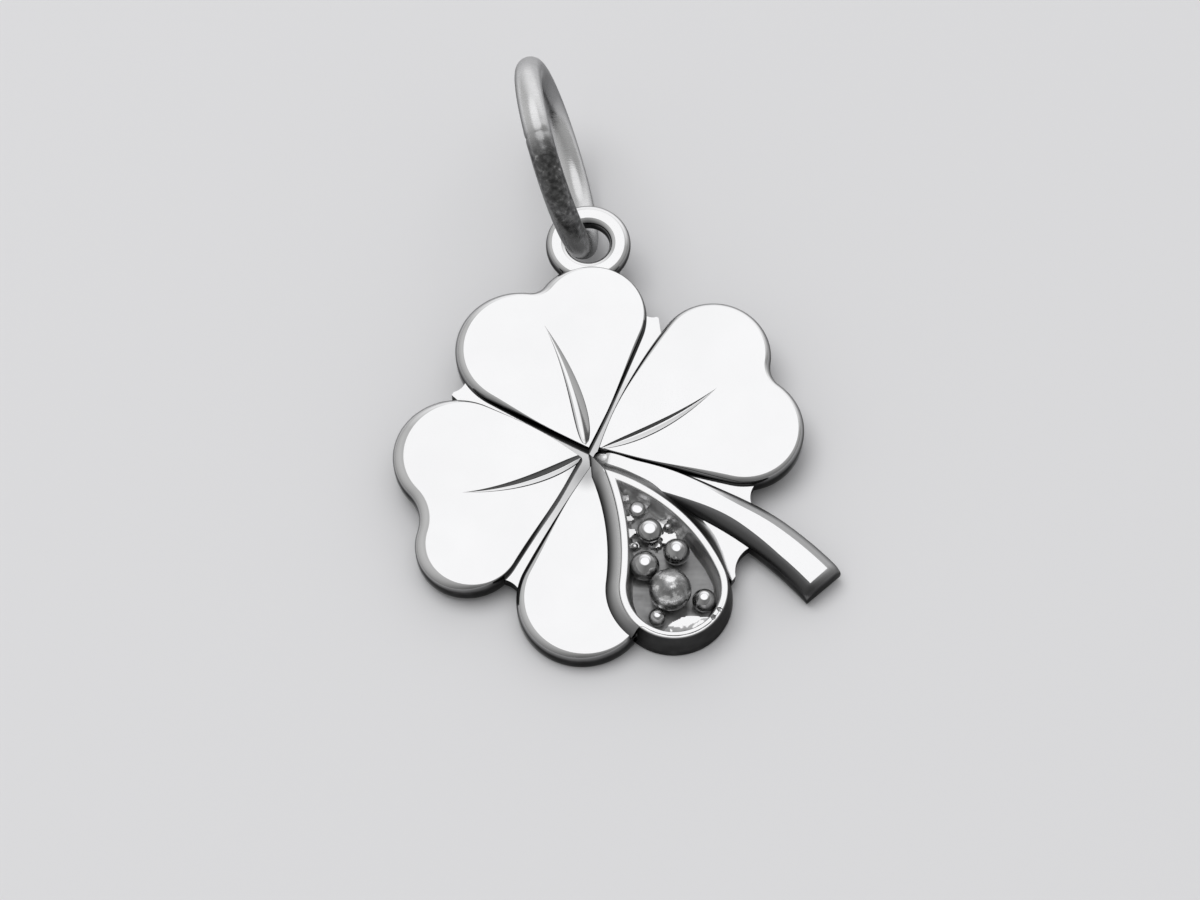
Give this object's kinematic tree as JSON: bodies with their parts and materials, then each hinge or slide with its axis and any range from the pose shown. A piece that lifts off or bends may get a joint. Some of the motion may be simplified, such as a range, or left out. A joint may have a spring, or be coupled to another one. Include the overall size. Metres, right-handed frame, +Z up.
{
  "type": "four leaf clover pendant",
  "caption": "Flat polished clover pendant with veined leaves, a drop-shaped cup of grains on its lower leaf, a curved stem, and a jump ring through its eyelet.",
  "frame": {"origin": "on the table under the middle of the pendant's box, as it lies", "axes": "+Z up from the table, +Y from the cup and plain lobe to the jump ring, +X towards the stem's side"},
  "size_m": [0.0162, 0.0232, 0.0077],
  "materials": {
    "silver": "mirror polished silver, a little darker in the grooves",
    "ring_silver": "polished silver with fine scratches",
    "grain_silver": "dark polished silver, the largest grain frosted"
  },
  "bodies": {
    "root": {"clover": "silver", "jump_ring": "ring_silver", "grain_1": "grain_silver", "grain_2": "grain_silver", "grain_3": "grain_silver", "grain_4": "grain_silver", "grain_5": "grain_silver", "grain_6": "grain_silver", "grain_7": "grain_silver", "grain_8": "grain_silver", "grain_9": "grain_silver"}
  },
  "joints": []
}
